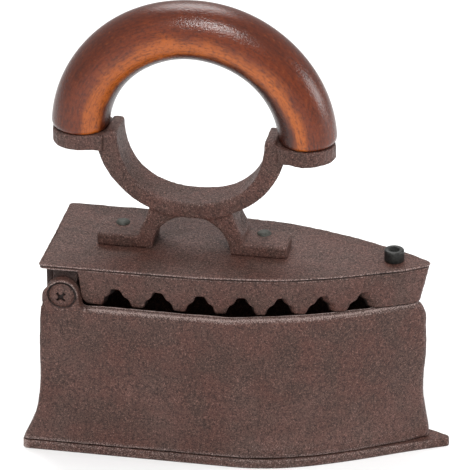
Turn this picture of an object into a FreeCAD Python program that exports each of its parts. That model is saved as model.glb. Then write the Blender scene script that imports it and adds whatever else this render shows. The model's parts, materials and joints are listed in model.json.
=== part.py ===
import FreeCAD, Part
import math
import os

# Charcoal clothes iron, millimetres.
# +X runs forward to the nose, +Z is up, Y runs across, and the iron is the same on both sides.
# The origin is the middle of the sole's underside.

V = FreeCAD.Vector
UP = V(0, 0, 1)

# --- driving dimensions -------------------------------------------------------------------
SOLE_LENGTH = 184.0
SOLE_HALF_WIDTH = 35.6
SOLE_THICK = 4.2
SOLE_TIP_R = 1.6

FLOOR_TOP = 8.7            # inside floor of the coal chamber
FLARE_TOP = 21.0           # height where the flared foot of the casting becomes the wall
WALL_TIP_R = 3.4
RIM_TOP = 70.0
REAR_WALL_TOP = 65.2       # lower between the ears, so the lid's apron can swing past
CHAMBER_HALF_WIDTH = 28.4
CHAMBER_HEEL_X = -79.0
CHAMBER_NOSE_X = 71.5

GRATE_BOTTOM = 16.0
GRATE_THICK = 2.2
GRATE_HOLE_R = 3.0
GRATE_HOLE_PITCH = 12.0

HINGE_X = -73.0
HINGE_Z = 75.4
EAR_R = 7.5
EAR_INNER_Y = 28.6
EAR_OUTER_Y = 32.7
LUG_INNER_Y = 24.0
LUG_OUTER_Y = 28.3
LUG_R = 5.0
M5_R = 2.5
RUNNING_CLEARANCE = 0.06

LID_BOTTOM = 70.4
LID_PLATE_UNDER = 86.4
LID_TOP = 88.8
LID_HEEL_X = -83.3
LID_NOSE_X = 81.0
LID_HALF_WIDTH = 30.5
LID_TIP_R = 2.8
SKIRT_DRAFT = 1.9          # how far the skirt leans in from the plate to its lower edge
SKIRT_INNER_INSET = 5.0
NOTCH_X = -65.0            # front edge of the notch that clears the ear
APRON_X = (-80.8, -78.0)
APRON_HALF_WIDTH = 26.0
APRON_BOTTOM = 71.0

VENT_CENTRES_X = (-49.8, -31.6, -13.4, 4.2, 21.0, 38.0, 54.6)
VENT_HALF_WIDTH = 6.6
VENT_TOP = 78.6

HANDLE_X = -21.3           # middle of the bracket and grip
BRACKET_WIDTH = 17.4
RING_Z = 143.5             # centre height of the finger opening
RING_INNER = (31.6, 31.1, 2.3)   # half-width, depth below the centre and squareness
RING_OUTER = (41.0, 38.4, 2.06)
FLANGE_X = 48.6            # centre of each flange plate from the handle's middle
FLANGE_BOTTOM = 134.5
FLANGE_TOP = 141.5
FLANGE_R = 12.3
TAB_TOP = 143.0
TAB_OUTER = 36.3
FOOT_THICK = 5.6
FOOT_HALF_DEPTH = 8.2
FOOT_REACH = (17.0, 41.5)  # nearest and furthest X of each foot from the handle's middle
ARCH_HALF_WIDTH = 16.8
ARCH_TOP = 105.2

GRIP_Z = 139.5
GRIP_R = 49.0
GRIP_SECTION_R = 12.4
GRIP_END_Z = 141.6
GRIP_END_ROUND = 1.8
GRIP_SCREW_R = 2.0

RIVET_PLACES = {-1: (-53.4, 3.7), 1: (8.6, 3.7)}
RIVET_R = 2.0

LATCH_X = 65.4
LATCH_HEAD_R = 4.25
LATCH_HEAD_HEIGHT = 5.2
KEEPER_Z = (64.5, 67.5)
TOGGLE_Z = (60.4, 64.2)
TOGGLE_HALF_LENGTH = 4.9
TOGGLE_HALF_WIDTH = 2.5
SPIGOT_R = 1.6             # turned-down end of the nose screw inside the toggle

# Half outlines from the shoulder to the nose tip: (x, half-width), first the lowest.
SOLE_CURVE = [(10, 35.1), (28, 31.2), (46, 23.9), (62, 16.0), (77, 8.2)]
FOOT_CURVE = [(10, 34.3), (26, 30.8), (42, 24.9), (55, 18.4), (68, 11.2)]
WALL_CURVE = [(9, 32.0), (22, 29.2), (38, 24.2), (51, 18.2), (64, 11.6)]
UPPER_CURVE = [(8, 31.0), (21, 27.9), (37, 23.1), (50, 17.5), (63, 11.2)]
RIM_CURVE = [(8, 29.7), (21, 26.6), (37, 21.8), (50, 16.2), (62, 10.2)]
LID_CURVE = [(5, 28.6), (20, 26.5), (35, 22.4), (48, 17.7), (61, 12.2), (71, 7.8)]
CHAMBER_CURVE = [(8, 26.4), (20, 23.4), (35, 18.8), (48, 13.4), (60, 8.2)]


# --- shared shapes ------------------------------------------------------------------------
def outline(z, heel_x, half_width, shoulder_x, curve, nose_x, tip_r, corner=3.0):
    """Closed wire: rounded heel, parallel sides, curved shoulders and a round nose tip."""
    def p(x, y):
        return V(x, y, z)

    last_x, last_y = curve[-1]
    to_centre = math.hypot(nose_x - tip_r - last_x, last_y)
    heading = math.asin(tip_r / to_centre) - math.atan2(last_y, nose_x - tip_r - last_x)
    reach = math.sqrt(to_centre ** 2 - tip_r ** 2)
    tip_x = last_x + reach * math.cos(heading)
    tip_y = last_y + reach * math.sin(heading)
    k = corner * (1 - math.sqrt(0.5))
    edges = [Part.makeLine(p(heel_x, half_width - corner), p(heel_x, corner - half_width))]
    for side in (-1, 1):
        w = side * half_width
        into_tip = V(math.cos(heading), side * math.sin(heading), 0)
        bend = Part.Arc(p(heel_x, w - side * corner), p(heel_x + k, w - side * k),
                        p(heel_x + corner, w)).toShape()
        run = Part.makeLine(p(heel_x + corner, w), p(shoulder_x, w))
        spline = Part.BSplineCurve()
        points = [p(shoulder_x, w)] + [p(x, side * y) for x, y in curve] + [p(tip_x, side * tip_y)]
        spline.interpolate(Points=points, InitialTangent=V(1, 0, 0), FinalTangent=into_tip)
        edges += [bend, run, spline.toShape()]
    edges.append(Part.Arc(p(tip_x, -tip_y), p(nose_x, 0), p(tip_x, tip_y)).toShape())
    return Part.Wire(Part.__sortEdges__(edges))


def inset(curve, distance):
    """The same half outline moved inwards, square to the line, by a distance."""
    moved = []
    for i, (x, y) in enumerate(curve):
        x0, y0 = curve[max(i - 1, 0)]
        x1, y1 = curve[min(i + 1, len(curve) - 1)]
        length = math.hypot(x1 - x0, y1 - y0)
        moved.append((x + distance * (y1 - y0) / length, y - distance * (x1 - x0) / length))
    return moved


def prism(wire, height):
    return Part.Face(wire).extrude(V(0, 0, height))


def box(x, y, z):
    """Box from three (low, high) pairs."""
    return Part.makeBox(x[1] - x[0], y[1] - y[0], z[1] - z[0], V(x[0], y[0], z[0]))


def side_prism(points, y0, y1):
    """A closed (x, z) outline carried across from y0 to y1."""
    wire = Part.makePolygon([V(x, y0, z) for x, z in points + points[:1]])
    return Part.Face(wire).extrude(V(0, y1 - y0, 0))


def cylinder_y(r, x, z, y0, y1):
    return Part.makeCylinder(r, abs(y1 - y0), V(x, min(y0, y1), z), V(0, 1, 0))


def cylinder_z(r, x, y, z0, z1):
    return Part.makeCylinder(r, z1 - z0, V(x, y, z0), UP)


def hexagon_z(across_flats, x, y, z0, z1):
    r = across_flats / math.sqrt(3)
    corners = [V(x + r * math.cos(math.radians(60 * i + 30)),
                 y + r * math.sin(math.radians(60 * i + 30)), z0) for i in range(7)]
    return prism(Part.makePolygon(corners), z1 - z0)


def dome_z(r, rise, x, y, z, direction):
    """Spherical cap on a flat circle at height z, bulging up (+1) or down (-1)."""
    ball_r = (r * r + rise * rise) / (2 * rise)
    ball = Part.makeSphere(ball_r, V(x, y, z + direction * (rise - ball_r)))
    keep = (z, z + rise) if direction > 0 else (z - rise, z)
    return ball.common(cylinder_z(r, x, y, *keep))


def turn_onto_y(shape, side):
    """Lay a shape drawn along +Z on the hinge line, head outwards on the given side."""
    laid = shape.copy()
    laid.rotate(V(0, 0, 0), V(1, 0, 0), -90 * side)
    laid.translate(V(HINGE_X, 0, HINGE_Z))
    return laid


# --- base body ----------------------------------------------------------------------------
def sole_plate():
    half = SOLE_LENGTH / 2
    wire = outline(0, -half, SOLE_HALF_WIDTH, 2, SOLE_CURVE, half, SOLE_TIP_R)
    plate = prism(wire, SOLE_THICK)
    for x, y in sole_screw_places():
        plate = plate.cut(cylinder_z(2.0, x, y, 1.4, SOLE_THICK))
    return plate


def sole_screw_places():
    return [(x, side * y) for x, y in ((-68, 20), (18, 18)) for side in (-1, 1)] + [(60, 0)]


def sole_screws():
    """Countersunk screws down through the chamber floor into the sole plate."""
    screws = []
    for x, y in sole_screw_places():
        shank = cylinder_z(2.0, x, y, 1.4, FLOOR_TOP - 2.0)
        head = Part.makeCone(2.0, 4.0, 2.0, V(x, y, FLOOR_TOP - 2.0), UP)
        slot = box((x - 5, x + 5), (y - 0.5, y + 0.5), (FLOOR_TOP - 0.9, FLOOR_TOP))
        screws.append(shank.fuse(head).cut(slot))
    return Part.makeCompound(screws)


def base_shell():
    """Outer form: flared foot, drafted wall and bevelled rim, lofted between outlines."""
    sections = [
        (SOLE_THICK, -91.6, 35.2, 2, FOOT_CURVE, 83.0),
        (9.5, -89.3, 34.7, 2, FOOT_CURVE, 82.6),
        (15.5, -86.5, 34.1, 1, inset(WALL_CURVE, -0.4), 81.4),
        (FLARE_TOP, -85.2, 33.8, 1, WALL_CURVE, 80.4),
        (57.0, -83.2, 33.0, 0, UPPER_CURVE, 80.0),
        (67.0, -82.7, 32.8, -2, inset(UPPER_CURVE, 0.5), 78.6),
        (RIM_TOP, -82.2, 32.1, -4, RIM_CURVE, 76.6),
    ]
    wires = [outline(*section, WALL_TIP_R) for section in sections]
    return Part.makeLoft(wires, True, True)


def ear(side):
    """Hinge ear: round about the pin, sloping back to the heel, with a fillet to the rim."""
    points = [(-82.2, RIM_TOP - 8), (-82.2, RIM_TOP), (-81.3, 73.4)]
    for degrees in range(168, -1, -7):
        a = math.radians(degrees)
        points.append((HINGE_X + EAR_R * math.cos(a), HINGE_Z + EAR_R * math.sin(a)))
    points += [(-65.3, 73.2), (-64.7, 71.6), (-63.6, 70.5), (-62.2, RIM_TOP), (-62.2, RIM_TOP - 8)]
    blank = side_prism(points, side * EAR_INNER_Y, side * EAR_OUTER_Y)
    pocket = cylinder_y(6.1, HINGE_X, HINGE_Z, side * (EAR_OUTER_Y - 1.0), side * 40)
    hole = cylinder_y(M5_R, HINGE_X, HINGE_Z, side * 20, side * 40)
    return blank.cut(pocket).cut(hole)


def keeper():
    """Bridge across the nose with a slot; the turned toggle bears on its underside."""
    bridge = box((56.0, 74.0), (-14, 14), KEEPER_Z)
    slot = box((LATCH_X - 5.6, LATCH_X + 6.0), (-2.9, 2.9), KEEPER_Z)
    inside = prism(outline(KEEPER_Z[0], CHAMBER_HEEL_X, CHAMBER_HALF_WIDTH + 1, -2,
                           inset(CHAMBER_CURVE, -1), CHAMBER_NOSE_X + 1, 2.5), 3)
    return bridge.cut(slot).common(inside)


def toggle_room():
    """Round pocket cored into the nose under the keeper, where the toggle turns."""
    return cylinder_z(TOGGLE_HALF_LENGTH + 1.3, LATCH_X, 0, TOGGLE_Z[0] - 0.8, KEEPER_Z[0])


def grate_pads():
    height = (FLOOR_TOP - 0.5, GRATE_BOTTOM)
    places = [(x, side * y) for x, y in ((-74, 22), (-28, 23), (14, 19)) for side in (-1, 1)]
    pads = [cylinder_z(3.0, x, y, *height) for x, y in places + [(48, 0)]]
    return pads


def base_casting():
    body = base_shell()
    chamber = prism(outline(FLOOR_TOP, CHAMBER_HEEL_X, CHAMBER_HALF_WIDTH, -2, CHAMBER_CURVE,
                            CHAMBER_NOSE_X, 2.5), RIM_TOP)
    rear_gap = box((-95, CHAMBER_HEEL_X + 4), (-27, 27), (REAR_WALL_TOP, 100))
    body = body.cut(chamber).cut(rear_gap).cut(toggle_room())
    body = body.fuse([ear(-1), ear(1), keeper()] + grate_pads())
    for x, y in sole_screw_places():
        body = body.cut(cylinder_z(2.0, x, y, SOLE_THICK, FLOOR_TOP))
        body = body.cut(Part.makeCone(2.0, 4.0, 2.0, V(x, y, FLOOR_TOP - 2.0), UP))
    return body.removeSplitter()


def coal_grate():
    """Perforated plate that keeps the coals off the floor, loose on its pads."""
    plate = prism(outline(GRATE_BOTTOM, CHAMBER_HEEL_X + 1, CHAMBER_HALF_WIDTH - 1, -2,
                          inset(CHAMBER_CURVE[:4], 1), 58, 5), GRATE_THICK)
    holes = []
    for row in (-1, 0, 1):
        count = 11 if row == 0 else 8
        for i in range(count):
            x = CHAMBER_HEEL_X + 11 + i * GRATE_HOLE_PITCH
            holes.append(cylinder_z(GRATE_HOLE_R, x, row * 13.0, GRATE_BOTTOM, GRATE_BOTTOM + 5))
    return plate.cut(holes)


def hinge_screw(side):
    """Truss-head cross-recess screw: the hinge pin on one side of the iron."""
    seat = EAR_OUTER_Y - 0.95
    head = dome_z(5.5, 2.0, 0, 0, seat, 1)
    shank = cylinder_z(M5_R, 0, 0, 17.6, seat)
    screw = head.fuse(shank)
    for turn in (45, 135):
        arm = box((-2.6, 2.6), (-0.55, 0.55), (seat + 0.7, seat + 4))
        arm.rotate(V(0, 0, 0), UP, turn)
        screw = screw.cut(arm)
    return turn_onto_y(screw, side)


def hinge_washer(side):
    ring = cylinder_z(4.8, 0, 0, 22.7, 23.7).cut(cylinder_z(M5_R, 0, 0, 22.7, 23.7))
    return turn_onto_y(ring, side)


def hinge_nut(side):
    nut = hexagon_z(8.0, 0, 0, 18.7, 22.7).cut(cylinder_z(M5_R, 0, 0, 18.7, 22.7))
    return turn_onto_y(nut, side)


# --- lid body -----------------------------------------------------------------------------
def lid_outline(z, distance):
    """The lid's outline at a height, moved inwards by a distance."""
    nose_x = LID_NOSE_X - 1.8 * distance
    return outline(z, LID_HEEL_X + distance, LID_HALF_WIDTH - distance, -22,
                   inset(LID_CURVE, distance), nose_x, LID_TIP_R, 2.0)


def vent_profile():
    """Half-width against height of one scalloped vent gap, from the rim up, as a closed loop."""
    right = [(1.0, -0.3), (1.0, 0.0), (0.79, 0.41), (0.55, 0.56), (0.32, 0.88), (0.2, 0.97)]
    height = VENT_TOP - LID_BOTTOM
    right = [(VENT_HALF_WIDTH * u, LID_BOTTOM + height * v) for u, v in right]
    left = [(-x, z) for x, z in reversed(right)]
    return right + [(0, VENT_TOP)] + left


def wall_place(x):
    """Half-width and slope angle (degrees) of the lid's outline at a station x."""
    points = [(-22, LID_HALF_WIDTH)] + LID_CURVE
    if x <= points[0][0]:
        return LID_HALF_WIDTH, 0.0
    for (x0, y0), (x1, y1) in zip(points, points[1:]):
        if x <= x1:
            y = y0 + (y1 - y0) * (x - x0) / (x1 - x0)
            return y, math.degrees(math.atan2(y0 - y1, x1 - x0))


def vents():
    """Cutters for the scalloped gaps, each square to the wall where it stands."""
    cutters = []
    for x in VENT_CENTRES_X:
        half_width, slope = wall_place(x)
        for side in (-1, 1):
            cutter = side_prism(vent_profile(), -4, 7)
            if side > 0:
                cutter = cutter.mirror(V(0, 0, 0), V(0, 1, 0))
            cutter.rotate(V(0, 0, 0), UP, -side * slope)
            cutter.translate(V(x, side * half_width, 0))
            cutters.append(cutter)
    return cutters


def lid_skirt():
    """Leaning skirt under the plate, notched for the ears and scalloped along its edge."""
    outer = Part.makeLoft([lid_outline(LID_BOTTOM, 0.3 + SKIRT_DRAFT),
                           lid_outline(LID_PLATE_UNDER, 0.3)], True, True)
    hollow = prism(lid_outline(LID_BOTTOM, SKIRT_INNER_INSET), LID_PLATE_UNDER - LID_BOTTOM)
    notch = side_prism([(-90, 60), (-61.4, 60), (-61.4, 70.6), (-63.2, 71.1), (-64.2, 72.2),
                        (NOTCH_X, 74.0), (NOTCH_X, LID_PLATE_UNDER), (-90, LID_PLATE_UNDER)],
                       -50, 50)
    return outer.cut(hollow).cut(notch).cut(vents())


def hinge_lug(side):
    """Lug that hangs from the plate inside the ear and turns on the hinge screw."""
    points = [(HINGE_X - LUG_R, LID_PLATE_UNDER), (HINGE_X - LUG_R, HINGE_Z)]
    for degrees in range(190, 341, 10):
        a = math.radians(degrees)
        points.append((HINGE_X + LUG_R * math.cos(a), HINGE_Z + LUG_R * math.sin(a)))
    points += [(HINGE_X + LUG_R + 0.6, HINGE_Z + 2), (HINGE_X + 7, LID_PLATE_UNDER)]
    lug = side_prism(points, side * LUG_INNER_Y, side * LUG_OUTER_Y)
    bore = cylinder_y(M5_R + RUNNING_CLEARANCE, HINGE_X, HINGE_Z, side * 20, side * 40)
    return lug.cut(bore)


def lid_casting():
    plate = prism(lid_outline(LID_PLATE_UNDER, 0), LID_TOP - LID_PLATE_UNDER)
    apron = box(APRON_X, (-APRON_HALF_WIDTH, APRON_HALF_WIDTH), (APRON_BOTTOM, LID_PLATE_UNDER))
    boss = cylinder_z(5.2, LATCH_X, 0, 82.2, LID_PLATE_UNDER)
    lid = plate.fuse([lid_skirt(), apron, boss, hinge_lug(-1), hinge_lug(1)])
    nut_room = cylinder_z(5.3, LATCH_X, 0, LID_BOTTOM - 1, 82.2)
    lid = lid.cut(nut_room).cut(cylinder_z(M5_R + RUNNING_CLEARANCE, LATCH_X, 0, 80, 90))
    for place in RIVET_PLACES.values():
        lid = lid.cut(cylinder_z(RIVET_R, *place, 80, 90))
    return lid.removeSplitter()


def ring_area(half_width, depth, power, top_z):
    """Lower half of a squared-off ellipse about the finger opening's centre, closed at top_z."""
    points = []
    for i in range(25):
        a = math.pi * (1 + i / 24)
        c, s = math.cos(a), math.sin(a)
        x = half_width * math.copysign(abs(c) ** (2 / power), c)
        z = depth * math.copysign(abs(s) ** (2 / power), s)
        points.append(V(HANDLE_X + x, -BRACKET_WIDTH / 2, RING_Z + z))
    curve = Part.BSplineCurve()
    curve.interpolate(Points=points)
    corners = [points[-1], V(points[-1].x, points[0].y, top_z), V(points[0].x, points[0].y, top_z),
               points[0]]
    wire = Part.Wire([curve.toShape()] + Part.makePolygon(corners).Edges)
    return Part.Face(wire).extrude(V(0, BRACKET_WIDTH, 0))


def bracket_arms():
    """Flange plates under the grip's ends, and the tabs that stand up inside them."""
    pieces = []
    for side in (-1, 1):
        near, flange_x = HANDLE_X + side * 38, HANDLE_X + side * FLANGE_X
        span = (min(near, flange_x), max(near, flange_x))
        pieces.append(box(span, (-11, 11), (FLANGE_BOTTOM, FLANGE_TOP)))
        pieces.append(cylinder_z(FLANGE_R, flange_x, 0, FLANGE_BOTTOM, FLANGE_TOP))
        tab = sorted((HANDLE_X + side * (RING_INNER[0] - 3), HANDLE_X + side * TAB_OUTER))
        pieces.append(box(tab, (-BRACKET_WIDTH / 2 + 1, BRACKET_WIDTH / 2 - 1),
                          (FLANGE_TOP - 2, TAB_TOP)))
    return pieces


def bracket_legs():
    """Arched legs below the ring and the two feet that stand on the lid."""
    flare = [(22.8, LID_TOP), (22.8, 97.0), (20.2, 102.5), (18.0, 108.6)]
    points = [(HANDLE_X + x, z) for x, z in flare]
    points += [(HANDLE_X - x, z) for x, z in reversed(flare)]
    legs = side_prism(points, -FOOT_HALF_DEPTH, FOOT_HALF_DEPTH)
    feet = []
    for side in (-1, 1):
        span = sorted(HANDLE_X + side * reach for reach in FOOT_REACH)
        foot = box(span, (-FOOT_HALF_DEPTH, FOOT_HALF_DEPTH), (LID_TOP, LID_TOP + FOOT_THICK))
        upright = [edge for edge in foot.Edges if abs(edge.tangentAt(0).z) > 0.9]
        feet.append(foot.makeFillet(2.0, upright))
    arch = Part.Ellipse(V(HANDLE_X + ARCH_HALF_WIDTH, 0, LID_TOP), V(HANDLE_X, 0, ARCH_TOP),
                        V(HANDLE_X, 0, LID_TOP))
    hole = Part.Face(Part.Wire(arch.toShape())).extrude(V(0, 40, 0))
    hole.translate(V(0, -20, 0))
    return legs.fuse(feet).cut(hole)


def handle_bracket():
    band = ring_area(*RING_OUTER, FLANGE_TOP + 10)
    band = band.common(box((-100, 60), (-20, 20), (LID_TOP, FLANGE_TOP)))
    bracket = band.fuse(bracket_arms() + [bracket_legs()])
    bracket = bracket.cut(ring_area(*RING_INNER, TAB_TOP + 10))
    for side in (-1, 1):
        bracket = bracket.cut(cylinder_z(GRIP_SCREW_R, HANDLE_X + side * GRIP_R, 0, 130, 145))
        bracket = bracket.cut(cylinder_z(RIVET_R, *RIVET_PLACES[side], 85, 96))
    return bracket.removeSplitter()


def wood_grip():
    """Half-round turned grip, cut level just above the flange plates."""
    circle = Part.Wire(Part.makeCircle(GRIP_SECTION_R, V(HANDLE_X + GRIP_R, 0, GRIP_Z), UP))
    ring = Part.Face(circle).revolve(V(HANDLE_X, 0, GRIP_Z), V(0, -1, 0), 180)
    grip = ring.common(box((-100, 60), (-20, 20), (GRIP_END_Z, 210)))
    ends = [edge for edge in grip.Edges if edge.BoundBox.ZMax < GRIP_END_Z + 0.01]
    grip = grip.makeFillet(GRIP_END_ROUND, ends)
    for side in (-1, 1):
        grip = grip.cut(cylinder_z(GRIP_SCREW_R, HANDLE_X + side * GRIP_R, 0, 140, 158))
    return grip


def grip_screw(side):
    """Wood screw up through a flange plate into the end of the grip."""
    x = HANDLE_X + side * GRIP_R
    shank = cylinder_z(GRIP_SCREW_R, x, 0, FLANGE_BOTTOM, 155)
    point = Part.makeCone(GRIP_SCREW_R, 0.2, 3, V(x, 0, 155), UP)
    head = dome_z(4.2, 2.4, x, 0, FLANGE_BOTTOM, -1)
    slot = box((x - 5, x + 5), (-0.5, 0.5), (FLANGE_BOTTOM - 3, FLANGE_BOTTOM - 1.3))
    return shank.fuse([point, head]).cut(slot)


def handle_rivet(side):
    """Rivet through a foot and the lid plate, headed over a burr underneath."""
    place = RIVET_PLACES[side]
    foot_top = LID_TOP + FOOT_THICK
    shank = cylinder_z(RIVET_R, *place, LID_PLATE_UNDER - 1.0, foot_top)
    upper = dome_z(3.1, 1.6, *place, foot_top, 1)
    lower = dome_z(3.3, 1.6, *place, LID_PLATE_UNDER - 1.0, -1)
    return shank.fuse([upper, lower])


def rivet_burr(side):
    place = RIVET_PLACES[side]
    z = (LID_PLATE_UNDER - 1.0, LID_PLATE_UNDER)
    return cylinder_z(4.4, *place, *z).cut(cylinder_z(RIVET_R, *place, *z))


# --- latch body ---------------------------------------------------------------------------
def nose_screw():
    """Socket cap screw that turns in the lid's nose and carries the toggle."""
    seat = LID_TOP + 0.1
    head = cylinder_z(LATCH_HEAD_R, LATCH_X, 0, seat, seat + LATCH_HEAD_HEIGHT)
    rim = [e for e in head.Edges if e.BoundBox.ZMin > seat + 1 and e.BoundBox.ZLength < 0.01]
    head = head.makeChamfer(0.4, rim)
    socket = hexagon_z(4.0, LATCH_X, 0, seat + 2.0, seat + 10)
    shank = cylinder_z(M5_R, LATCH_X, 0, TOGGLE_Z[1], seat)
    spigot = cylinder_z(SPIGOT_R, LATCH_X, 0, *TOGGLE_Z)
    return head.cut(socket).fuse([shank, spigot]).cut(toggle_pin())


def latch_washer():
    z = (81.0, 82.0)
    return cylinder_z(4.8, LATCH_X, 0, *z).cut(cylinder_z(M5_R, LATCH_X, 0, *z))


def latch_nut():
    z = (77.0, 81.0)
    return hexagon_z(8.0, LATCH_X, 0, *z).cut(cylinder_z(M5_R, LATCH_X, 0, *z))


def latch_toggle():
    """Hammer head on the screw's end; it passes the keeper's slot when it lies fore and aft."""
    bar = box((LATCH_X - TOGGLE_HALF_LENGTH, LATCH_X + TOGGLE_HALF_LENGTH),
              (-TOGGLE_HALF_WIDTH, TOGGLE_HALF_WIDTH), TOGGLE_Z)
    bar = bar.common(cylinder_z(TOGGLE_HALF_LENGTH, LATCH_X, 0, *TOGGLE_Z))
    return bar.cut(cylinder_z(SPIGOT_R, LATCH_X, 0, *TOGGLE_Z)).cut(toggle_pin())


def toggle_pin():
    """Cross pin that keys the toggle to the screw's end."""
    middle = sum(TOGGLE_Z) / 2
    return cylinder_y(0.6, LATCH_X, middle, -TOGGLE_HALF_WIDTH, TOGGLE_HALF_WIDTH)


# --- write the sub-parts ------------------------------------------------------------------
PARTS = {
    "sole_plate": sole_plate(),
    "base_casting": base_casting(),
    "sole_screws": sole_screws(),
    "coal_grate": coal_grate(),
    "hinge_screw_right": hinge_screw(-1),
    "hinge_screw_left": hinge_screw(1),
    "hinge_washer_right": hinge_washer(-1),
    "hinge_washer_left": hinge_washer(1),
    "hinge_nut_right": hinge_nut(-1),
    "hinge_nut_left": hinge_nut(1),
    "lid_casting": lid_casting(),
    "handle_bracket": handle_bracket(),
    "wood_grip": wood_grip(),
    "grip_screw_rear": grip_screw(-1),
    "grip_screw_front": grip_screw(1),
    "handle_rivet_rear": handle_rivet(-1),
    "handle_rivet_front": handle_rivet(1),
    "rivet_burr_rear": rivet_burr(-1),
    "rivet_burr_front": rivet_burr(1),
    "nose_screw": nose_screw(),
    "latch_washer": latch_washer(),
    "latch_nut": latch_nut(),
    "latch_toggle": latch_toggle(),
    "toggle_pin": toggle_pin(),
}

os.makedirs("parts", exist_ok=True)
for name, shape in PARTS.items():
    shape.exportStep(os.path.join("parts", name + ".step"))
    size = shape.BoundBox
    print(name, len(shape.Solids), "solid(s)", "valid" if shape.isValid() else "NOT VALID",
          "volume %.0f" % shape.Volume, "z %.2f..%.2f" % (size.ZMin, size.ZMax),
          "x %.2f..%.2f" % (size.XMin, size.XMax))
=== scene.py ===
"""Looks of a charcoal clothes iron: rough brown castings, a varnished wooden grip and its screws.

Lengths are millimetres until a mesh is made, which is in metres. +X runs to the nose and +Z is up.
"""
import json
import math

import bmesh
import bpy
import numpy as np
from bpy.props import FloatProperty, FloatVectorProperty, PointerProperty
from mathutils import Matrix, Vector


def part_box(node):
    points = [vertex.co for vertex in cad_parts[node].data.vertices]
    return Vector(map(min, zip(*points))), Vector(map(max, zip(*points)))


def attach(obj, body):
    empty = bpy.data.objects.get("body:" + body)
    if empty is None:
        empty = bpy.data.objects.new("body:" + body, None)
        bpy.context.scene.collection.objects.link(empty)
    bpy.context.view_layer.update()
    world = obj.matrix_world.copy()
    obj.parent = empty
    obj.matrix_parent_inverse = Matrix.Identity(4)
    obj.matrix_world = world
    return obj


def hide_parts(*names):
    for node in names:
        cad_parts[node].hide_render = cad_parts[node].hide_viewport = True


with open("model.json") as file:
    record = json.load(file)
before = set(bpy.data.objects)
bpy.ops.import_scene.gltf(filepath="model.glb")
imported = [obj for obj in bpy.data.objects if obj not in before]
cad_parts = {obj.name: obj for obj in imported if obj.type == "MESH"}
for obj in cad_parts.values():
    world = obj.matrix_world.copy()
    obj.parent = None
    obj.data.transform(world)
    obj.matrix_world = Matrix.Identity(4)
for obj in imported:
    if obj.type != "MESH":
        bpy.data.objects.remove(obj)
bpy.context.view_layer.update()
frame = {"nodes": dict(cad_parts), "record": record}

bl_info = {
    "name": "Charcoal Clothes Iron",
    "version": (1, 0, 0),
    "blender": (4, 5, 0),
    "location": "View3D > Sidebar > Iron",
    "description": "Builds the castings, grip, screws and studio of a charcoal clothes iron",
    "category": "Object",
}

MM = 0.001


def span(node):
    """Lowest and highest corner of a frame node, in millimetres."""
    low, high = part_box(node)
    return np.array(low) / MM, np.array(high) / MM


# --- driving sizes, from the frame where it holds them ---
SOLE_HIGH = span("sole_plate")[1]
BASE_LOW = span("base_casting")[0]
LID_LOW, LID_HIGH = span("lid_casting")
GRIP_LOW = span("wood_grip")[0]
NOSE_LOW, NOSE_HIGH = span("nose_screw")

HINGE_X, _, HINGE_Z = sum(span("hinge_screw_left")) / 2
HANDLE_X = sum(span("handle_bracket"))[0] / 2
LATCH_X = (NOSE_LOW[0] + NOSE_HIGH[0]) / 2
LID_TOP = LID_HIGH[2]
LID_BOTTOM = LID_LOW[2]
PLATE_UNDER = LID_TOP - 2.4
RIM_TOP = 70.0
REAR_RIM_TOP = 65.2         # between the ears, where the lid swings past
FLOOR_TOP = 8.7
EAR_FROM_X = -62.2
EAR_R = 7.5
EAR_OUTER_Y = 32.7
EAR_INNER_Y = 28.6
NOTCH_X = -65.0             # rear end of the lid's skirt
LUG_R = 4.6
RING_Z = 143.5              # middle of the finger opening
RING_INNER = (31.6, 31.1, 2.3)   # half-width, depth and power of the band's two faces
RING_OUTER = (41.0, 38.4, 2.06)
GRIP_Z = 139.5
GRIP_RING_R = 49.0          # of the grip's centre line
GRIP_R = 12.4
GRIP_LENGTH = 154.0
HEAD_R = 5.5                # hinge screw
HEAD_RISE = 2.0

# Half outlines from the shoulder to the nose: (x, half-width).
SOLE_CURVE = [(10, 35.1), (28, 31.2), (46, 23.9), (62, 16.0), (77, 8.2)]
FOOT_CURVE = [(10, 34.3), (26, 30.8), (42, 24.9), (55, 18.4), (68, 11.2)]
WALL_CURVE = [(9, 32.0), (22, 29.2), (38, 24.2), (51, 18.2), (64, 11.6)]
UPPER_CURVE = [(8, 31.0), (21, 27.9), (37, 23.1), (50, 17.5), (63, 11.2)]
RIM_CURVE = [(8, 29.7), (21, 26.6), (37, 21.8), (50, 16.2), (62, 10.2)]
LID_CURVE = [(5, 28.6), (20, 26.5), (35, 22.4), (48, 17.7), (61, 12.2), (71, 7.8)]
CHAMBER_CURVE = [(8, 26.4), (20, 23.4), (35, 18.8), (48, 13.4), (60, 8.2)]
VENT_CENTRES_X = (-49.8, -31.6, -13.4, 4.2, 21.0, 38.0, 54.6)


# --- numpy surfaces ---
def lengths(points):
    """Length run along a line up to each of its points."""
    return np.concatenate([[0], np.cumsum(np.linalg.norm(np.diff(points, axis=0), axis=1))])


def headings(points):
    """Unit direction of a line at each of its points."""
    run = np.gradient(points, axis=0)
    return run / np.maximum(np.linalg.norm(run, axis=1), 1e-9)[:, None]


def at_places(places, run, points):
    """Points of a plane line at places along its run."""
    return np.stack([np.interp(places, run, points[:, k]) for k in (0, 1)], 1)


def cubic(u, h, start, stop, start_slope, stop_slope):
    """Cubic from start to stop as u goes from 0 to 1 over a stretch h, with a slope at each end."""
    return ((2 * u ** 3 - 3 * u ** 2 + 1) * start + (u ** 3 - 2 * u ** 2 + u) * h * start_slope
            + (3 * u ** 2 - 2 * u ** 3) * stop + (u ** 3 - u ** 2) * h * stop_slope)


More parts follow.
